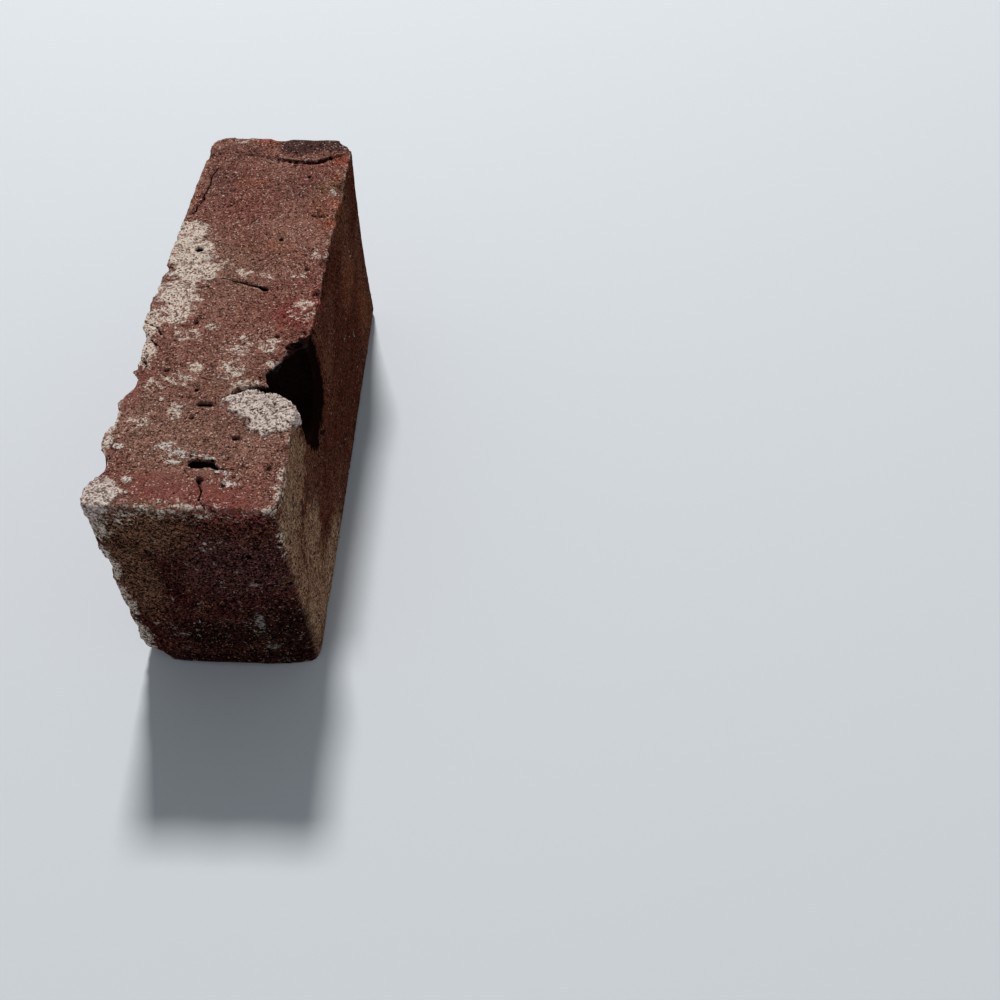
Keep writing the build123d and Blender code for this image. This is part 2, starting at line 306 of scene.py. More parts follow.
# Pores on the top, the header and the bed face: how they are drawn out, how rare and how dark they are.
# Below that, how much rarer they are on the left side and the far end, and how soft their rims are.
pore_stretches = ((0.35, 1.2, 1.0), (1.0, 1.0, 0.7), (0.8, 0.8, 0.7))
pore_rarities = (0.66, 0.59, 0.61)
pore_shares = (1.0, 1.0, 0.85)
hidden_rarity = 0.04
pore_rim = 0.05

# Small dark specks on every face, how far pores darken the clay, and how far painted shade darkens holes,
# hollows and the painted shadow strip
speck_size = 1.3
pore_cover = 0.85
shade_cover = 0.97

# Levels between which each kind of hollow is painted dark as shade and an arris turns pale, and the size of
# the spots that are rubbed pale on it
shade_levels = {
    "Near hollow": (0.07, 0.3),
    "Depth": (2.4, 5.0),
    "Far hollow": (0.4, 0.85),
    "Hole": (0.8, 1.35),
}
ridge_levels = (-0.3, -1.2)
rubbed_size = 2.4

# Drag marks of the mould across the header
drag_stretch = (0.14, 1.0, 1.0)
drag_size = 1.4
drag_cover = 0.5

# Crumbs of dust and mortar, and how far they cover rubbed arrises and lime covers the sides and the top
crumb_size = 0.6
crumb_share = 0.9
crumb_lump_size = 1.4
crumb_levels = (0.58, 1.02)
rubbed_cover = 0.75
lime_on_sides = 0.4
lime_on_top = 1.0

# Bump: its whole height, and how far mortar and pores count in it beside the grains
bump_height = 0.8 * mm
mortar_bump = 0.3
pore_bump = -0.5
clay_roughness = 0.9

# Studio, in metres and degrees: the air's light, its own paleness and its colour, the round floor, the
# lamps and the place that they face, and the camera
air_light = 0.24
air_seen = 0.78
air_colour = (0.9, 0.96, 1.0, 1.0)
floor_reach = 1.8
floor_corners = 96
floor_roughness = 0.7
floor_shine = 0.2
lamps = {
    "key_light": {"place": (-0.334, 1.84, 2.6), "size": 0.4, "power": 90.0, "tone": (1.0, 0.985, 0.96)},
    "front_fill": {"place": (0.8, -2.4, 1.8), "size": 1.6, "power": 3.0, "tone": (1.0, 1.0, 1.0)},
}
brick_middle = (0, 0, 0.05)
camera_place = (0.1148, -0.3323, 0.4105)
camera_turns = {"heading": (2.14, "Z"), "tilt": (37.58, "X"), "roll": (0.1, "Z")}
camera_lens = 42.22
camera_sensor = 36.0
camera_nearest = 0.01


def paint(red, green, blue):
    """A colour as paint charts give it, 0 to 255, as the linear colour that materials take."""
    parts = [value / 255 for value in (red, green, blue)]
    return tuple(p / 12.92 if p <= 0.04045 else ((p + 0.055) / 1.055) ** 2.4 for p in parts) + (1.0,)


# Colours of the clay on each face: its body, its pale blots and its deep mottling
top_clay = (paint(131, 84, 74), paint(148, 106, 93), paint(102, 61, 53))
# The near header's and the bed face's colours are darker partly by their own clay and partly as painted
# shade; the left side and the far end take the plain side clay
header_clay_and_shade = (paint(60, 28, 26), paint(84, 50, 41), paint(42, 16, 15))
bed_clay_and_shade = (paint(86, 45, 33), paint(108, 68, 52), paint(52, 26, 20))
buff_clay = (paint(162, 124, 98), paint(176, 142, 114), paint(88, 60, 46))
side_clay = (paint(112, 68, 57), paint(134, 92, 76), paint(84, 47, 40))
mottle_size = 3.5
bed_mottle_size = 1.8

# Colours of the finishes. The tints are laid over the clay in this order.
tints = {
    "plum": paint(92, 64, 62),
    "rose": paint(142, 80, 73),
    "tint": paint(140, 84, 58),
    "tan": paint(138, 106, 91),
    "crimson": paint(142, 56, 52),
    "raw": paint(150, 72, 50),
    "umber": paint(118, 86, 66),
    "kiln": paint(70, 51, 49),
}
header_drags = paint(92, 42, 38)
soot_black = paint(30, 19, 18)
mortar_grey = paint(240, 223, 213)
mortar_brown = paint(134, 109, 98)
haze_beige = paint(240, 223, 207)
lime_white = paint(226, 219, 210)
# Dark of the pores, and of the painted shade in holes, hollows and the painted shadow strip
pore_and_shade_dark = paint(16, 9, 7)
floor_pale = paint(214, 219, 225)


# Node trees

def join(tree, source, socket):
    """Links a socket to another node's output, or sets it to a value."""
    if isinstance(source, bpy.types.NodeSocket):
        tree.links.new(source, socket)
    else:
        socket.default_value = source


def add(tree, kind, settings=None, **inputs):
    """A new node with its settings and its inputs by name."""
    node = tree.nodes.new(kind)
    for name, value in (settings or {}).items():
        setattr(node, name, value)
    for name, value in inputs.items():
        join(tree, value, node.inputs[name.replace("_", " ")])
    return node


def calc(tree, operation, *values):
    """One step of arithmetic on outputs or numbers."""
    node = add(tree, "ShaderNodeMath", {"operation": operation})
    for value, socket in zip(values, node.inputs):
        join(tree, value, socket)
    return node.outputs[0]


def combined(tree, operation, values):
    """Several outputs or numbers taken together, from left to right."""
    result = values[0]
    for value in values[1:]:
        result = calc(tree, operation, result, value)
    return result


def total(tree, *values):
    """The sum of several outputs."""
    return combined(tree, "ADD", values)


def product(tree, *values):
    """Several outputs or numbers multiplied together."""
    return combined(tree, "MULTIPLY", values)


def most(tree, *values):
    """The largest of several outputs."""
    return combined(tree, "MAXIMUM", values)


def between(tree, share, low, high):
    """A value from low to high as a share goes from 0 to 1."""
    if isinstance(low, float) and isinstance(high, float):
        span = high - low
    else:
        span = calc(tree, "SUBTRACT", high, low)
    return calc(tree, "MULTIPLY_ADD", share, span, low)


def stretch(tree, place, by):
    """A position stretched along each axis."""
    node = add(tree, "ShaderNodeVectorMath", {"operation": "MULTIPLY"})
    join(tree, place, node.inputs[0])
    join(tree, by, node.inputs[1])
    return node.outputs[0]


def cloud(tree, place, size, detail, roughness):
    """Soft noise from 0 to 1 whose blots are about size millimetres across."""
    settings = {"noise_dimensions": "3D"}
    node = add(tree, "ShaderNodeTexNoise", settings, Vector=place, Detail=detail, Roughness=roughness)
    join(tree, calc(tree, "DIVIDE", 1.0, size), node.inputs["Scale"])
    return node.outputs[0]


def cells(tree, place, size):
    """Random cells about size millimetres across: the way to each one's middle, and its own number."""
    node = add(tree, "ShaderNodeTexVoronoi", {"voronoi_dimensions": "3D"}, Vector=place)
    join(tree, calc(tree, "DIVIDE", 1.0, size), node.inputs["Scale"])
    own = add(tree, "ShaderNodeSeparateXYZ", Vector=node.outputs["Color"])
    return node.outputs["Distance"], own.outputs[0]


def ease(tree, value, low, high, start=0.0, end=1.0):
    """Goes smoothly from start to end as a value goes from low to high."""
    node = add(tree, "ShaderNodeMapRange", {"interpolation_type": "SMOOTHSTEP"}, Value=value)
    for name, limit in (("From Min", low), ("From Max", high), ("To Min", start), ("To Max", end)):
        join(tree, limit, node.inputs[name])
    return node.outputs[0]


def marks(tree, kind, place, size, start=0.0, end=1.0):
    """Noise that goes from start to end between the levels where one kind of mark comes in."""
    detail, roughness, low, high = noise_kinds[kind]
    return ease(tree, cloud(tree, place, size, detail, roughness), low, high, start, end)


def mix(tree, share, under, over, blend="MIX"):
    """One colour laid over another by a share from 0 to 1."""
    node = add(tree, "ShaderNodeMix", {"data_type": "RGBA", "blend_type": blend})
    for index, value in ((0, share), (6, under), (7, over)):
        join(tree, value, node.inputs[index])
    return node.outputs[2]


def new_tree(name, kind, inputs, outputs):
    """A node group with named inputs and outputs, and its two end nodes."""
    tree = bpy.data.node_groups.new(name, kind)
    for label, (socket_kind, value) in inputs.items():
        socket = tree.interface.new_socket(label, in_out="INPUT", socket_type=socket_kind)
        if value is not None:
            socket.default_value = value
    for label, socket_kind in outputs.items():
        tree.interface.new_socket(label, in_out="OUTPUT", socket_type=socket_kind)
    return tree, tree.nodes.new("NodeGroupInput").outputs, tree.nodes.new("NodeGroupOutput").inputs


def use(tree, group, inputs):
    """A node group placed in a material with its own values; gives its outputs."""
    node = add(tree, "ShaderNodeGroup", {"node_tree": group})
    for name, value in inputs.items():
        join(tree, value, node.inputs[name])
    return node.outputs


number = "NodeSocketFloat"
whole_number = "NodeSocketInt"
colour = "NodeSocketColor"
vector = "NodeSocketVector"
shape = "NodeSocketGeometry"


# The brick's mesh

def points_of(mesh):
    """A mesh's points in millimetres, one row each."""
    flat = np.empty(len(mesh.vertices) * 3)
    mesh.vertices.foreach_get("co", flat)
    return flat.reshape(-1, 3) / mm


def set_points(mesh, points):
    mesh.vertices.foreach_set("co", (points * mm).ravel())
    mesh.update()


def evaluated_mesh(piece, name):
    """The mesh that a piece's modifiers give, as a plain mesh."""
    depsgraph = bpy.context.evaluated_depsgraph_get()
    mesh = bpy.data.meshes.new_from_object(piece.evaluated_get(depsgraph), depsgraph=depsgraph)
    mesh.name = name
    return mesh


def apply_modifiers(piece):
    """Turns what a piece's modifiers give into its own plain mesh."""
    plain = evaluated_mesh(piece, piece.name)
    piece.modifiers.clear()
    piece.data = plain


def add_piece(name, mesh):
    piece = bpy.data.objects.new(name, mesh)
    bpy.context.scene.collection.objects.link(piece)
    return piece


def fine_copy(node, name):
    """A closed copy of the solid in small even faces."""
    whole = bmesh.new()
    whole.from_mesh(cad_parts[node].data)
    bmesh.ops.remove_doubles(whole, verts=whole.verts, dist=seam)
    mesh = bpy.data.meshes.new(name)
    whole.to_mesh(mesh)
    whole.free()
    piece = add_piece(name, mesh)
    remesh = piece.modifiers.new("Fine faces", "REMESH")
    remesh.mode = "VOXEL"
    remesh.voxel_size = mesh_step
    apply_modifiers(piece)
    return piece


def rise(values, low, high):
    """0 where the values are low, 1 where they are high, and straight between."""
    return np.clip((values - low) / (high - low), 0, 1)


def closeness(points, places):
    """How near each point is to a patch's middle: 1 there, 0 at the patch's rim, -1 well outside."""
    best = np.full(len(points), -1.0)
    for face, patches in places.items():
        first, second, across, level = face_axes[face]
        off_face = ((points[:, across] - level) / patch_thickness) ** 2
        for u, v, reach_u, reach_v in patches:
            along = ((points[:, first] - u) / reach_u) ** 2 + ((points[:, second] - v) / reach_v) ** 2
            best = np.maximum(best, 1 - np.sqrt(along + off_face))
    return best


def closeness_to_crust(points):
    """How far inside the crust's outline each point is, as a share of its edge's width, from -1 to 1."""
    inside = np.full(len(points), 1.0)
    for start, end in zip(crust_corners, crust_corners[1:] + crust_corners[:1]):
        run = np.subtract(end[:2], start[:2])
        offset = points[:, :2] - start[:2]
        from_edge = (run[0] * offset[:, 1] - run[1] * offset[:, 0]) / np.linalg.norm(run)
        inside = np.minimum(inside, from_edge / start[2])
    off_top = (face_axes["top"][3] - points[:, 2]) / patch_thickness
    return np.clip(inside - np.maximum(off_top, 0), -1, 1)


def inside_hollow(points):
    """1 well inside the broken-out hollow and 0 outside it."""
    across, along, height = points.T
    room = np.minimum(across - hollow_across[0], hollow_across[1] - across)
    room = np.minimum(room, np.minimum(along - hollow_along[0], hollow_along[1] - along))
    return np.clip(np.minimum(room, hollow_below - height), 0, 1)


def set_attribute(mesh, name, values):
    attribute = mesh.attributes.new(name, "FLOAT", "POINT")
    attribute.data.foreach_set("value", values)


def mark_finishes(mesh):
    """Writes how near each point is to each finish's patches, and which kind of face it is on."""
    points = points_of(mesh)
    for name, places in finish_patches.items():
        set_attribute(mesh, name, closeness(points, places))
    set_attribute(mesh, "crust", closeness_to_crust(points))
    normals = np.empty(len(mesh.vertices) * 3)
    mesh.vertices.foreach_get("normal", normals)
    right, far, up = normals.reshape(-1, 3).T
    set_attribute(mesh, "top_face", rise(points[:, 2], *top_starts) * rise(up, *turned_up))
    set_attribute(mesh, "header_face", rise(-far, *turned_out))
    set_attribute(mesh, "hidden_side", rise(np.maximum(-right, far), *turned_out))


def hull_planes(node):
    """The planes of the tight skin that would wrap the solid, one row each: a normal and its distance."""
    wrapped = bmesh.new()
    wrapped.from_mesh(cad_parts[node].data)
    skin = bmesh.ops.convex_hull(wrapped, input=wrapped.verts)["geom"]
    faces = [face for face in skin if isinstance(face, bmesh.types.BMFace)]
    planes = {tuple(round(v, 3) for v in (*f.normal, f.normal.dot(f.verts[0].co) / mm)) for f in faces}
    wrapped.free()
    return np.array(sorted(planes))


def mark_depth(mesh, node):
    """Writes how deep each point lies under that skin, in millimetres, and if it is in the hollow."""
    points = points_of(mesh)
    set_attribute(mesh, "hollow", inside_hollow(points))
    planes = hull_planes(node)
    depth = np.full(len(points), np.inf)
    for plane in planes:
        depth = np.minimum(depth, plane[3] - points @ plane[:3])
    on_top = rise(points[:, 2], *deep_starts) * (np.abs(points[:, 0]) < arris_starts)
    set_attribute(mesh, "depth", depth * (1 + deeper_on_top * on_top))


def mark_holes(mesh):
    """Writes how far each point of the top face lies under the even surface that fits the whole face."""
    points = points_of(mesh)
    height = points[:, 2]
    across, along = (points[:, :2] / even_face).T
    powers = [(i, j) for i in range(even_powers[0]) for j in range(even_powers[1] - i)]
    terms = np.stack([across ** i * along ** j for i, j in powers], axis=1)
    fits = (height > even_level) & (np.abs(across) < 1) & (np.abs(along) < 1)
    for _ in range(even_rounds):
        shares = np.linalg.lstsq(terms[fits], height[fits], rcond=None)[0]
        under = terms @ shares - height
        fits &= np.abs(under) < even_slack
    from_middle = np.abs(points)
    fade = 1 - rise(from_middle[:, 0], *fade_across)
    fade *= 1 - rise(from_middle[:, 1], *fade_along)
    set_attribute(mesh, "hole", np.clip(under, 0, deepest_hole) * fade * (height > lowest_hole))


def cut_hairlines(mesh):
    """Presses the hairline cracks into the top face."""
    points = points_of(mesh)
    for depth, width, line in hairlines:
        for start, end in zip(line, line[1:]):
            run = np.subtract(end, start)
            offset = points[:, :2] - start
            share = np.clip(offset @ run / (run @ run), 0, 1)
            away = np.linalg.norm(offset - share[:, None] * run, axis=1)
            near = (away < width) & (points[:, 2] > hairline_level)
            points[near, 2] -= depth * (1 - away[near] / width)
    set_points(mesh, points)


def calm_spikes(mesh):
    """Brings each point that stands out from all its neighbours like a thorn back among them."""
    points = points_of(mesh)
    ends = np.empty(len(mesh.edges) * 2, dtype=int)
    mesh.edges.foreach_get("vertices", ends)
    ends = ends.reshape(-1, 2)
    lengths = np.linalg.norm(points[ends[:, 0]] - points[ends[:, 1]], axis=1)
    neighbours = np.zeros_like(points)
    reach = np.zeros(len(points))
    for here, there in (ends.T, ends.T[::-1]):
        np.add.at(neighbours, here, points[there])
        np.add.at(reach, here, lengths)
    count = np.bincount(ends.ravel(), minlength=len(points))
    middle = neighbours / count[:, None]
    stands_out = np.linalg.norm(points - middle, axis=1) > spike_share * reach / count
    points[stands_out] = middle[stands_out]
    set_points(mesh, points)


# Relief

def named_mask(tree, name):
    """The value of one of the mesh's attributes."""
    settings = {"data_type": "FLOAT"}
    return add(tree, "GeometryNodeInputNamedAttribute", settings, Name=name).outputs["Attribute"]


def edge_of_patch(tree, near, position, fullness, raggedness, size, softness):
    """A patch's share from 0 to 1: nothing outside it, its fullness inside, and broken up by noise."""
    level = ease(tree, near, *patch_rim, -1.0, fullness)
    noise = cloud(tree, position, size, 5.0, 0.72)
    broken = calc(tree, "MULTIPLY_ADD", calc(tree, "SUBTRACT", noise, noise_middle), raggedness, level)
    return ease(tree, broken, calc(tree, "MULTIPLY", softness, -1.0), softness)


def pits(tree, position, size, share, depth):
    """Round pits of different sizes in some of the cells, as heights below the surface."""
    away, own_number = cells(tree, position, size)
    radius = ease(tree, own_number, calc(tree, "SUBTRACT", 1.0, share), 1.0, 0.0, widest_pit)
    bowl = ease(tree, away, radius, calc(tree, "MULTIPLY", radius, pit_floor))
    deep_enough = calc(tree, "MULTIPLY", bowl, calc(tree, "MULTIPLY", radius, 1 / widest_pit))
    return calc(tree, "MULTIPLY", deep_enough, calc(tree, "MULTIPLY", depth, -1.0))


def evened(tree, value, steps, weight=1.0):
    """A vector evened out over each point's neighbours, as many times as steps."""
    settings = {"data_type": "FLOAT_VECTOR"}
    blur = add(tree, "GeometryNodeBlurAttribute", settings, Iterations=steps, Weight=weight)
    values = [socket for socket in blur.inputs if socket.enabled and socket.type == "VECTOR"]
    join(tree, value, values[0])
    return [socket for socket in blur.outputs if socket.enabled][0]


def settling_tree():
    """Presses cracks almost shut where they have settled: the lap's left end and the near crack."""
    sizes = {"Brick": (shape, None), "Steps": (whole_number, 40)}
    tree, given, result = new_tree("Settled cracks", "GeometryNodeTree", sizes, {"Brick": shape})
    position = add(tree, "GeometryNodeInputPosition").outputs[0]
    weight = ease(tree, named_mask(tree, "settled"), *settled_rim)
    place = evened(tree, position, given["Steps"], weight)
    settled = add(tree, "GeometryNodeSetPosition", Geometry=given["Brick"], Position=place)
    join(tree, settled.outputs[0], result["Brick"])
    return tree


def relief_height(tree, given, position):
    """How far the surface moves out at each place, in millimetres."""

    def waves(height, size, detail):
        noise = calc(tree, "SUBTRACT", cloud(tree, position, given[size], detail, 0.55), noise_middle)
        return calc(tree, "MULTIPLY", noise, calc(tree, "MULTIPLY", given[height], 2.0))

    def patch(name):
        return edge_of_patch(tree, named_mask(tree, name), position, *relief_edges[name], relief_softness)

    def raised(name, height):
        return calc(tree, "MULTIPLY", patch(name), height)

    skin = [waves("Swell height", "Swell size", 2.0), waves("Skin height", "Skin size", 4.0)]
    pitting = pits(tree, position, given["Pit spacing"], given["Pit share"], given["Pit depth"])
    fine_spacing = calc(tree, "MULTIPLY", given["Pit spacing"], fine_pit_spacing)
    fine_depth = calc(tree, "MULTIPLY", given["Pit depth"], fine_pit_depth)
    fine_pitting = pits(tree, position, fine_spacing, given["Pit share"], fine_depth)
    loss = marks(tree, "lost skin", position, given["Loss size"])
    lost = calc(tree, "MULTIPLY", loss, calc(tree, "MULTIPLY", given["Loss depth"], -1.0))
    film_height = calc(tree, "MULTIPLY", given["Mortar height"], given["Film share"])
    mortar = total(tree, raised("mortar", given["Mortar height"]), raised("crust", given["Crust height"]),
                   raised("film", film_height))
    lumps = marks(tree, "lumps", position, given["Lump size"], *lump_heights)
    broken = calc(tree, "MULTIPLY", waves("Break height", "Break size", 4.0), patch("rough"))
    return total(tree, *skin, pitting, fine_pitting, lost, calc(tree, "MULTIPLY", mortar, lumps), broken)


def relief_tree():
    """Moves the surface in and out: swells, skin, pits, lost skin, raised mortar and rough breaks."""
    sizes = {
        "Brick": (shape, None),
        "Swell height": (number, 0.3), "Swell size": (number, 22.0),
        "Skin height": (number, 0.3), "Skin size": (number, 3.5),
        "Pit depth": (number, 0.9), "Pit spacing": (number, 6.0), "Pit share": (number, 0.3),
        "Loss depth": (number, 0.35), "Loss size": (number, 12.0),
        "Mortar height": (number, 0.5), "Crust height": (number, 0.55), "Film share": (number, 0.3),
        "Lump size": (number, 1.8), "Break height": (number, 1.5), "Break size": (number, 4.0),
    }
    tree, given, result = new_tree("Weathered relief", "GeometryNodeTree", sizes, {"Brick": shape})
    metres = add(tree, "GeometryNodeInputPosition").outputs[0]
    position = stretch(tree, metres, to_millimetres)
    height = relief_height(tree, given, position)
    above_base = ease(tree, add(tree, "ShaderNodeSeparateXYZ", Vector=position).outputs[2], *calm_base)
    metres_out = calc(tree, "MULTIPLY", calc(tree, "MULTIPLY", height, above_base), mm)
    way = add(tree, "ShaderNodeVectorMath", {"operation": "SCALE"}, Scale=metres_out)
    join(tree, add(tree, "GeometryNodeInputNormal").outputs[0], way.inputs[0])
    moved = add(tree, "GeometryNodeSetPosition", Geometry=given["Brick"], Offset=way.outputs[0])
    join(tree, moved.outputs[0], result["Brick"])
    return tree


def hollows_tree():
    """Writes how far each point lies below the surface near it and further round it, in millimetres."""
    sizes = {"Brick": (shape, None), "Near steps": (whole_number, 6), "Far steps": (whole_number, 60)}
    tree, given, result = new_tree("Hollows and arrises", "GeometryNodeTree", sizes, {"Brick": shape})
    position = add(tree, "GeometryNodeInputPosition").outputs[0]
    normal = add(tree, "GeometryNodeInputNormal").outputs[0]
    brick = given["Brick"]
    for name, steps in (("hollow_near", "Near steps"), ("hollow_far", "Far steps")):
        up_to_it = add(tree, "ShaderNodeVectorMath", {"operation": "SUBTRACT"})
        join(tree, evened(tree, position, given[steps]), up_to_it.inputs[0])
        join(tree, position, up_to_it.inputs[1])
        along = add(tree, "ShaderNodeVectorMath", {"operation": "DOT_PRODUCT"})
        join(tree, up_to_it.outputs[0], along.inputs[0])
        join(tree, evened(tree, normal, given[steps]), along.inputs[1])
        depth = calc(tree, "DIVIDE", along.outputs["Value"], mm)
        store = add(tree, "GeometryNodeStoreNamedAttribute", {"data_type": "FLOAT", "domain": "POINT"})
        join(tree, brick, store.inputs["Geometry"])
        join(tree, name, store.inputs["Name"])
        join(tree, depth, store.inputs["Value"])
        brick = store.outputs[0]
    join(tree, brick, result["Brick"])
    return tree


def shape_with(piece, tree):
    """Puts a tree on a piece. Its named inputs keep the sizes that the tree was given."""
    modifier = piece.modifiers.new(tree.name, "NODES")
    modifier.node_group = tree


def thin_out(piece):
    """Merges faces where the surface is plain, down to the most triangles that a piece may have."""
    modifier = piece.modifiers.new("Fewer faces", "DECIMATE")
    modifier.ratio = min(1.0, most_triangles / (2 * len(piece.data.polygons)))


def weathered_brick():
    """The brick's fine mesh, with its relief and the attributes that its material reads."""
    piece = fine_copy("brick", "clay_brick")
    mark_finishes(piece.data)
    shape_with(piece, settling_tree())
    apply_modifiers(piece)
    cut_hairlines(piece.data)
    shape_with(piece, relief_tree())
    shape_with(piece, hollows_tree())
    thin_out(piece)
    apply_modifiers(piece)
    points = points_of(piece.data)
    points[:, 2] = np.maximum(points[:, 2], 0)
    set_points(piece.data, points)
    calm_spikes(piece.data)
    mark_depth(piece.data, "brick")
    mark_holes(piece.data)
    for face in piece.data.polygons:
        face.use_smooth = True
    return piece


# Groups of the material

def clay_group():
    """Fired clay of three colours, in soft blots and mottling."""
    inputs = {
        "Position": (vector, None), "Clay": (colour, (0, 0, 0, 1)), "Pale": (colour, (0, 0, 0, 1)),
        "Deep": (colour, (0, 0, 0, 1)), "Blot size": (number, 26.0), "Mottle size": (number, mottle_size),
        "Mottle share": (number, 0.5),
    }
    tree, given, result = new_tree("Fired clay", "ShaderNodeTree", inputs, {"Colour": colour})
    blots = marks(tree, "blots", given["Position"], given["Blot size"])
    mottle = marks(tree, "mottle", given["Position"], given["Mottle size"])
    tone = mix(tree, blots, given["Clay"], given["Pale"])
    mottle_share = product(tree, mottle, given["Mottle share"])
    join(tree, mix(tree, mottle_share, tone, given["Deep"]), result["Colour"])
    return tree


def grain_group():
    """Sand in the clay: how light each grain is, pale flecks here and there, and how high grains stand."""
    inputs = {"Position": (vector, None), "Grain size": (number, 0.6), "Contrast": (number, 0.5)}
    outputs = {"Shade": number, "Fleck": number, "Height": number}
    tree, given, result = new_tree("Sand grain", "ShaderNodeTree", inputs, outputs)
    position, size = given["Position"], given["Grain size"]
    away, fine = cells(tree, position, size)
    coarse = cells(tree, position, calc(tree, "MULTIPLY", size, coarse_grain))[1]
    uneven = cloud(tree, position, calc(tree, "MULTIPLY", size, uneven_grain), 4.0, 0.75)
    swings = [
        calc(tree, "MULTIPLY_ADD", noise, swing, -swing / 2)
        for noise, swing in zip((fine, coarse, uneven), grain_swings)
    ]
    shade = calc(tree, "MULTIPLY_ADD", total(tree, *swings), given["Contrast"], 1.0)
    join(tree, calc(tree, "MAXIMUM", shade, darkest_grain), result["Shade"])
    join(tree, ease(tree, fine, *fleck_levels), result["Fleck"])
    join(tree, calc(tree, "SUBTRACT", uneven, calc(tree, "MULTIPLY", away, grain_dome)), result["Height"])
    return tree


def patch_group():
    """A finish's patch: as full as asked inside, broken up by noise, and nothing outside."""
    inputs = {
        "Position": (vector, None), "Nearness": (number, 0.0), "Fullness": (number, 1.0),
        "Raggedness": (number, 1.0), "Edge size": (number, 2.5), "Softness": (number, 0.1),
        "Cover": (number, 1.0),
    }
    tree, given, result = new_tree("Ragged patch", "ShaderNodeTree", inputs, {"Share": number})
    edge = [given[name] for name in ("Fullness", "Raggedness", "Edge size", "Softness")]
    share = edge_of_patch(tree, given["Nearness"], given["Position"], *edge)
    join(tree, calc(tree, "MULTIPLY", share, given["Cover"]), result["Share"])
    return tree


def pore_group():
    """Dark pores, drawn out the way that the mould dragged the clay."""
    inputs = {
        "Position": (vector, None), "Drawn out": (vector, None), "Pore size": (number, 1.0),
        "Rarity": (number, 0.6),
    }
    tree, given, result = new_tree("Dragged pores", "ShaderNodeTree", inputs, {"Share": number})
    drawn = stretch(tree, given["Position"], given["Drawn out"])
    noise = cloud(tree, drawn, given["Pore size"], 4.0, 0.65)
    fully_open = calc(tree, "ADD", given["Rarity"], pore_rim)
    join(tree, ease(tree, noise, given["Rarity"], fully_open), result["Share"])
    return tree


def wear_and_shade_group():
    """Where the arrises are rubbed pale, and where pits, breaks and hollows are painted dark as shade."""
    inputs = {
        "Position": (vector, None), "Near hollow": (number, 0.0), "Far hollow": (number, 0.0),
        "Depth": (number, 0.0), "Hole": (number, 0.0), "Inside": (number, 0.0),
    }
    outputs = {"Rubbed": number, "Painted shade": number}
    tree, given, result = new_tree("Wear and painted shade", "ShaderNodeTree", inputs, outputs)
    ridge = ease(tree, given["Far hollow"], *ridge_levels)
    spots = marks(tree, "rubbed", given["Position"], rubbed_size)
    join(tree, calc(tree, "MULTIPLY", ridge, spots), result["Rubbed"])
    painted_shades = [ease(tree, given[name], low, high) for name, (low, high) in shade_levels.items()]
    join(tree, most(tree, *painted_shades, given["Inside"]), result["Painted shade"])
    return tree


# Material

class Coat:
    """The material's tree with its groups, its places in millimetres, and the kinds of face."""

    def __init__(self, tree):
        self.tree = tree
        metres = add(tree, "ShaderNodeTexCoord").outputs["Object"]
        self.position = stretch(tree, metres, to_millimetres)
        self.level = stretch(tree, self.position, level_stretch)
        self.clay = clay_group()
        self.sand = grain_group()
        self.patch = patch_group()
        self.pores = pore_group()
        self.wear = wear_and_shade_group()
        self.on_top = self.mark("top_face")
        self.on_header = self.mark("header_face")
        self.on_hidden = self.mark("hidden_side")

    def mark(self, name):
        """The value of one of the mesh's attributes."""
        return add(self.tree, "ShaderNodeAttribute", {"attribute_name": name}).outputs["Fac"]

    def finish(self, name):
        """How far a finish covers the clay, from 0 to 1."""
        fullness, raggedness, size, softness, cover = finish_edges[name]
        return use(self.tree, self.patch, {
            "Position": self.level if name in level_finishes else self.position,
            "Nearness": self.mark(name), "Fullness": fullness, "Raggedness": raggedness,
            "Edge size": size, "Softness": softness, "Cover": cover,
        })["Share"]

    def clay_of(self, colours, mottle=mottle_size):
        """Clay of a body colour with pale blots and deep mottling."""
        inputs = {"Position": self.position, "Mottle size": mottle}
        inputs.update(zip(("Clay", "Pale", "Deep"), colours))
        return use(self.tree, self.clay, inputs)["Colour"]

    def by_face(self, of_top, of_header, of_bed):
        """The value that belongs to the kind of face."""
        of_side = between(self.tree, self.on_header, of_bed, of_header)
        return between(self.tree, self.on_top, of_side, of_top)


def clay_tone(coat):
    """The clay's colours on each face, darker on the near header and the bed face partly as painted shade,
    with the tints that firing and wear left in it.
    """
    tree = coat.tree
    bed = coat.clay_of(bed_clay_and_shade, bed_mottle_size)
    bed = mix(tree, coat.finish("buff"), bed, coat.clay_of(buff_clay, bed_mottle_size))
    drawn_out = stretch(tree, coat.position, drag_stretch)
    drags = marks(tree, "drags", drawn_out, drag_size, 0.0, drag_cover)
    header = mix(tree, drags, coat.clay_of(header_clay_and_shade), header_drags)
    tone = mix(tree, coat.on_header, bed, header)
    tone = mix(tree, coat.on_hidden, tone, coat.clay_of(side_clay))
    tone = mix(tree, coat.finish("soot"), tone, soot_black)
    tone = mix(tree, coat.on_top, tone, coat.clay_of(top_clay))
    for name, tint in tints.items():
        tone = mix(tree, coat.finish(name), tone, tint)
    return tone


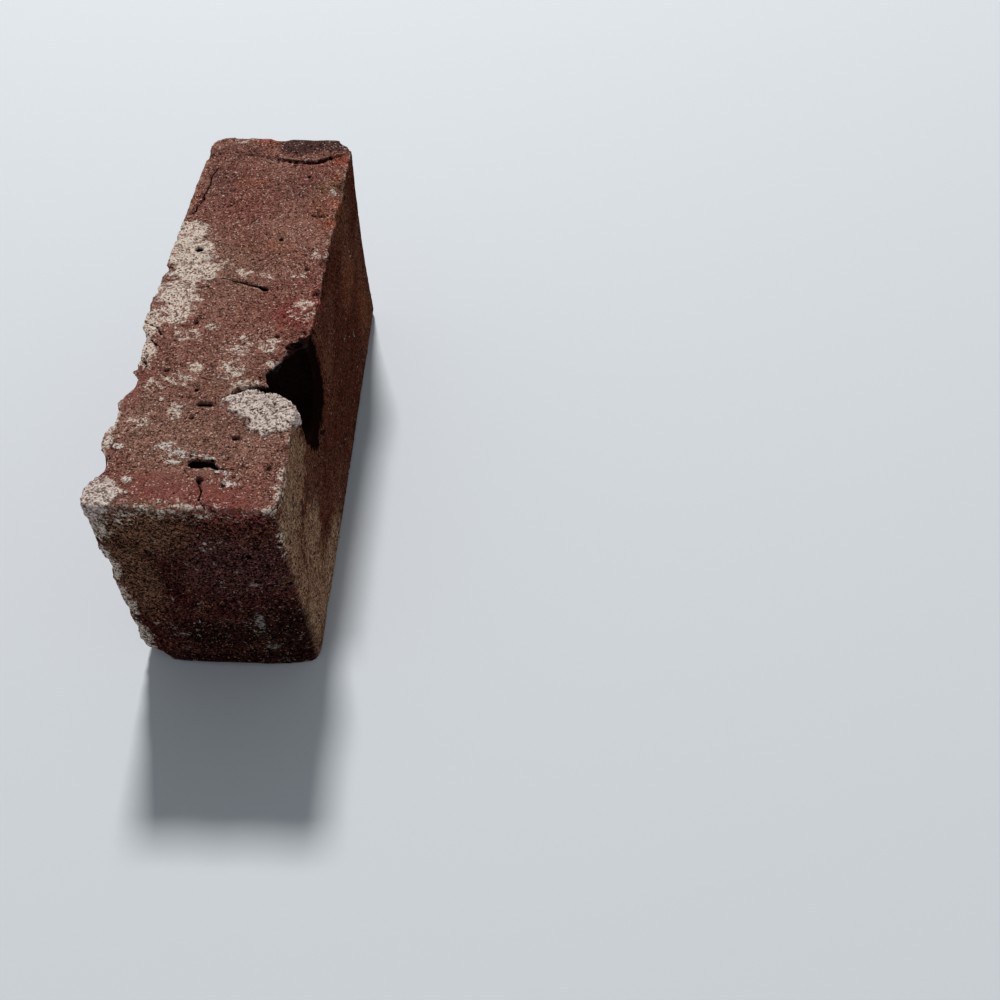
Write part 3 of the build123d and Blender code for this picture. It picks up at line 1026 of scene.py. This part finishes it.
def sanded(coat, tone):
    """Sand grain over the clay; gives the colour, and how high the grains stand."""
    tree = coat.tree
    on_top, on_header, on_bed = grain_contrasts
    contrasts = (
        calc(tree, "MULTIPLY_ADD", coat.finish("rose"), rose_contrast, on_top),
        on_header,
        calc(tree, "MULTIPLY_ADD", coat.on_hidden, hidden_contrast, on_bed),
    )
    grains = [
        use(tree, coat.sand, {"Position": coat.position, "Grain size": size, "Contrast": contrast})
        for size, contrast in zip(grain_sizes, contrasts)
    ]
    shade, fleck, height = [
        coat.by_face(*[grain[name] for grain in grains]) for name in ("Shade", "Fleck", "Height")
    ]
    grey = add(tree, "ShaderNodeCombineXYZ", X=shade, Y=shade, Z=shade).outputs[0]
    tone = mix(tree, 1.0, tone, grey, "MULTIPLY")
    fleck_tone = mix(tree, coat.on_top, buff_clay[0], haze_beige)
    return mix(tree, product(tree, fleck, coat.by_face(*fleck_covers)), tone, fleck_tone), height


def dusted(coat, tone, rubbed):
    """Dust, mortar and lime over the clay; gives the colour, and where mortar stands proud."""
    tree = coat.tree
    crumbs = product(tree, cells(tree, coat.position, crumb_size)[1], crumb_share)
    lumps = cloud(tree, coat.position, crumb_lump_size, 4.0, 0.8)
    stipple = ease(tree, total(tree, crumbs, lumps), *crumb_levels)
    tone = mix(tree, product(tree, rubbed, stipple, rubbed_cover), tone, haze_beige)
    dust = most(tree, coat.finish("haze"), coat.finish("film"))
    tone = mix(tree, product(tree, dust, stipple), tone, haze_beige)
    mortar = most(tree, coat.finish("mortar"), coat.finish("crust"))
    tone = mix(tree, mortar, tone, mix(tree, stipple, mortar_brown, mortar_grey))
    white = most(tree, coat.finish("lime"), coat.finish("streak"))
    white = product(tree, white, between(tree, coat.on_top, lime_on_sides, lime_on_top))
    return mix(tree, white, tone, lime_white), mortar


def pored_and_shaded(coat, tone, hollow_shade):
    """Dark pores, and painted shade in holes, hollows and the painted shadow strip; gives the colour, and
    where the pores are.
    """
    tree = coat.tree
    on_top, on_header, on_bed = pore_rarities
    rarities = (on_top, on_header, calc(tree, "MULTIPLY_ADD", coat.on_hidden, hidden_rarity, on_bed))
    shares = []
    for drawn_out, rarity, share in zip(pore_stretches, rarities, pore_shares):
        inputs = {"Position": coat.position, "Drawn out": drawn_out, "Rarity": rarity}
        shares.append(product(tree, use(tree, coat.pores, inputs)["Share"], share))
    specks = marks(tree, "specks", coat.position, speck_size)
    pores = most(tree, coat.by_face(*shares), specks)
    tone = mix(tree, product(tree, pores, pore_cover), tone, pore_and_shade_dark)
    shaded_places = most(tree, hollow_shade, coat.finish("painted_shadow"))
    return mix(tree, product(tree, shaded_places, shade_cover), tone, pore_and_shade_dark), pores


def fired_clay():
    """The brick's one material: clay with its colour on each face, the finishes laid over it, and painted
    shade on the near header, the bed face and in the hollows.
    """
    material = bpy.data.materials.new("fired_clay")
    material.use_nodes = True
    tree = material.node_tree
    tree.nodes.clear()
    coat = Coat(tree)
    depths = {"Near hollow": "hollow_near", "Far hollow": "hollow_far", "Depth": "depth"}
    depths.update({"Hole": "hole", "Inside": "hollow"})
    hollows = {label: coat.mark(name) for label, name in depths.items()}
    worn_and_shaded = use(tree, coat.wear, {"Position": coat.position, **hollows})
    tone, grains = sanded(coat, clay_tone(coat))
    tone, mortar = dusted(coat, tone, worn_and_shaded["Rubbed"])
    tone, pores = pored_and_shaded(coat, tone, worn_and_shaded["Painted shade"])
    height = total(tree, grains, product(tree, mortar, mortar_bump), product(tree, pores, pore_bump))
    bump = add(tree, "ShaderNodeBump", Strength=1.0, Distance=bump_height, Height=height)
    surface = add(tree, "ShaderNodeBsdfPrincipled", Base_Color=tone, Normal=bump.outputs[0])
    surface.inputs["Specular IOR Level"].default_value = 0.0
    surface.inputs["Roughness"].default_value = clay_roughness
    add(tree, "ShaderNodeOutputMaterial", Surface=surface.outputs[0])
    return material


# Studio

def floor_material():
    """A pale matt material with a faint shine."""
    material = bpy.data.materials.new("pale_floor")
    material.use_nodes = True
    surface = material.node_tree.nodes["Principled BSDF"]
    surface.inputs["Base Color"].default_value = floor_pale
    surface.inputs["Roughness"].default_value = floor_roughness
    surface.inputs["Specular IOR Level"].default_value = floor_shine
    return material


def studio_floor():
    """A round pale floor."""
    mesh = bpy.data.meshes.new("studio_floor")
    turns = [tau * corner / floor_corners for corner in range(floor_corners)]
    rim = [(floor_reach * cos(turn), floor_reach * sin(turn), 0) for turn in turns]
    mesh.from_pydata(rim, [], [range(floor_corners)])
    mesh.materials.append(floor_material())
    floor = add_piece("studio_floor", mesh)


def area_light(name, place, size, power, tone):
    """A square soft light that faces the brick."""
    light = bpy.data.lights.new(name, "AREA")
    light.size = size
    light.energy = power
    light.color = tone
    lamp = bpy.data.objects.new(name, light)
    lamp.location = place
    lamp.rotation_euler = (Vector(brick_middle) - Vector(place)).to_track_quat("-Z", "Y").to_euler()
    bpy.context.scene.collection.objects.link(lamp)


def studio_air():
    """Soft even light from all round, which itself looks as pale as the floor."""
    world = bpy.data.worlds.new("studio_air")
    world.use_nodes = True
    tree = world.node_tree
    rays = add(tree, "ShaderNodeLightPath").outputs
    seen = total(tree, rays["Is Camera Ray"], rays["Is Glossy Ray"], rays["Is Transmission Ray"])
    air = tree.nodes["Background"].inputs
    air["Color"].default_value = air_colour
    join(tree, between(tree, seen, air_light, air_seen), air["Strength"])
    bpy.context.scene.world = world


def studio_lights():
    """A small strong light behind the brick, as low sun would be, and a broad weak one in front."""
    for name, lamp in lamps.items():
        area_light(name, **lamp)
    studio_air()


def studio_camera():
    """The camera, above the near header and a little to its right."""
    camera = bpy.data.cameras.new("studio_camera")
    camera.lens = camera_lens
    camera.sensor_width = camera_sensor
    camera.clip_start = camera_nearest
    stand = bpy.data.objects.new("studio_camera", camera)
    way = Matrix.Translation(camera_place)
    for degrees, axis in camera_turns.values():
        way = way @ Matrix.Rotation(radians(degrees), 4, axis)
    stand.matrix_world = way
    bpy.context.scene.collection.objects.link(stand)
    bpy.context.scene.camera = stand


brick = weathered_brick()
brick.data.materials.clear()
brick.data.materials.append(fired_clay())
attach(brick, "root")
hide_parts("brick")

studio_floor()
studio_lights()
studio_camera()
bpy.context.scene.view_settings.view_transform = "Standard"
